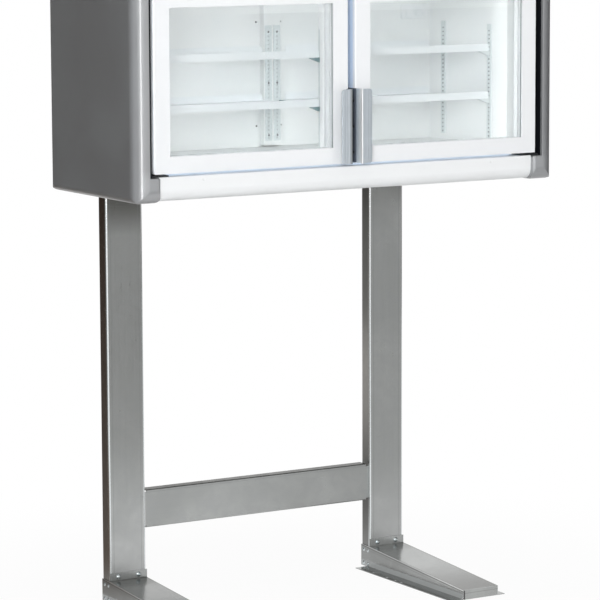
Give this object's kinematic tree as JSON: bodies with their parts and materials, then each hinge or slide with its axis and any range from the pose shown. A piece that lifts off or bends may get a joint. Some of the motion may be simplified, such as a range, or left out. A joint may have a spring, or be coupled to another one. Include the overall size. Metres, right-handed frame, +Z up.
{
  "type": "display top freezer",
  "caption": "White two-door glass-front freezer cabinet with grey end caps, carried at the back by a tall two-legged steel stand with long flat feet",
  "frame": {"origin": "on the floor, at the middle of the bounding box's bottom face", "axes": "+Z up, -Y out of the glass doors towards the user, +X to the right seen from the front"},
  "size_m": [1.2, 0.521, 1.85],
  "materials": {
    "cap_grey": "satin",
    "stand_steel": "satin",
    "zinc_steel": "bright",
    "white_sheet": "gloss",
    "white_plastic": "gloss",
    "rigid_foam": "matte",
    "black_steel": "satin",
    "black_plastic": "satin",
    "clear_glass": "polished",
    "bar_aluminium": "satin",
    "handle_aluminium": "brushed",
    "gasket_vinyl": "matte",
    "lamp_lens": "frosted",
    "coil_aluminium": "plain",
    "copper_pipe": "drawn",
    "motor_grey": "satin"
  },
  "bodies": {
    "cabinet": {"left_upright": "stand_steel", "right_upright": "stand_steel", "crossbar": "stand_steel", "left_foot": "stand_steel", "right_foot": "stand_steel", "foot_rivets": "zinc_steel", "stand_bolts": "zinc_steel", "mount_brackets": "zinc_steel", "outer_casing": "white_sheet", "back_panel": "white_sheet", "insulation": "rigid_foam", "inner_liner": "white_plastic", "breaker_frame": "white_plastic", "centre_mullion": "white_plastic", "left_end_cap": "cap_grey", "right_end_cap": "cap_grey", "bottom_rail": "white_plastic", "top_rail": "white_plastic", "rail_plugs": "white_plastic", "rear_channel": "white_plastic", "shelf_standards": "white_sheet", "shelf_clips": "white_sheet", "left_lower_shelf": "white_sheet", "left_upper_shelf": "white_sheet", "right_lower_shelf": "white_sheet", "right_upper_shelf": "white_sheet", "ceiling_grille": "white_plastic", "led_strips": "lamp_lens", "hinge_brackets": "black_steel", "header_panel": "white_sheet", "top_cover": "white_sheet", "compressor": "black_steel", "condenser_coil": "coil_aluminium", "condenser_motor": "motor_grey", "evaporator_box": "rigid_foam", "evaporator_coil": "coil_aluminium", "evaporator_motor": "motor_grey", "refrigerant_pipes": "copper_pipe", "control_box": "black_plastic", "power_inlet": "black_plastic"},
    "left_door": {"left_door_frame": "white_plastic", "left_outer_pane": "clear_glass", "left_inner_pane": "clear_glass", "left_pane_spacer": "bar_aluminium", "left_gasket": "gasket_vinyl", "left_handle": "handle_aluminium", "left_handle_screws": "black_steel", "left_hinge_bushes": "black_plastic"},
    "right_door": {"right_door_frame": "white_plastic", "right_outer_pane": "clear_glass", "right_inner_pane": "clear_glass", "right_pane_spacer": "bar_aluminium", "right_gasket": "gasket_vinyl", "right_handle": "handle_aluminium", "right_handle_screws": "black_steel", "right_hinge_bushes": "black_plastic"},
    "condenser_fan": {"condenser_fan": "black_plastic"},
    "evaporator_fan": {"evaporator_fan": "black_plastic"},
    "thermostat_knob": {"thermostat_knob": "black_plastic"},
    "lamp_switch": {"lamp_switch": "black_plastic"}
  },
  "joints": [
    {"name": "right_door_hinge", "type": "hinge", "parent": "cabinet", "child": "right_door", "pos_m": [0.5335, -0.2185, 1.349], "axis": [0, 0, 1], "range_deg": [0, 100]},
    {"name": "left_door_hinge", "type": "hinge", "parent": "cabinet", "child": "left_door", "pos_m": [-0.5335, -0.2185, 1.349], "axis": [0, 0, -1], "range_deg": [0, 100]},
    {"name": "condenser_fan_spin", "type": "hinge", "parent": "cabinet", "child": "condenser_fan", "pos_m": [0.2, -0.1165, 1.714], "axis": [0, -1, 0], "continuous": true},
    {"name": "evaporator_fan_spin", "type": "hinge", "parent": "cabinet", "child": "evaporator_fan", "pos_m": [-0.17, -0.009, 1.629], "axis": [0, 0, 1], "continuous": true},
    {"name": "thermostat_turn", "type": "hinge", "parent": "cabinet", "child": "thermostat_knob", "pos_m": [-0.375, -0.2345, 1.755], "axis": [0, -1, 0], "range_deg": [0, 270]},
    {"name": "lamp_switch_rock", "type": "hinge", "parent": "cabinet", "child": "lamp_switch", "pos_m": [-0.42, -0.2285, 1.755], "axis": [1, 0, 0], "range_deg": [0, 16]}
  ]
}
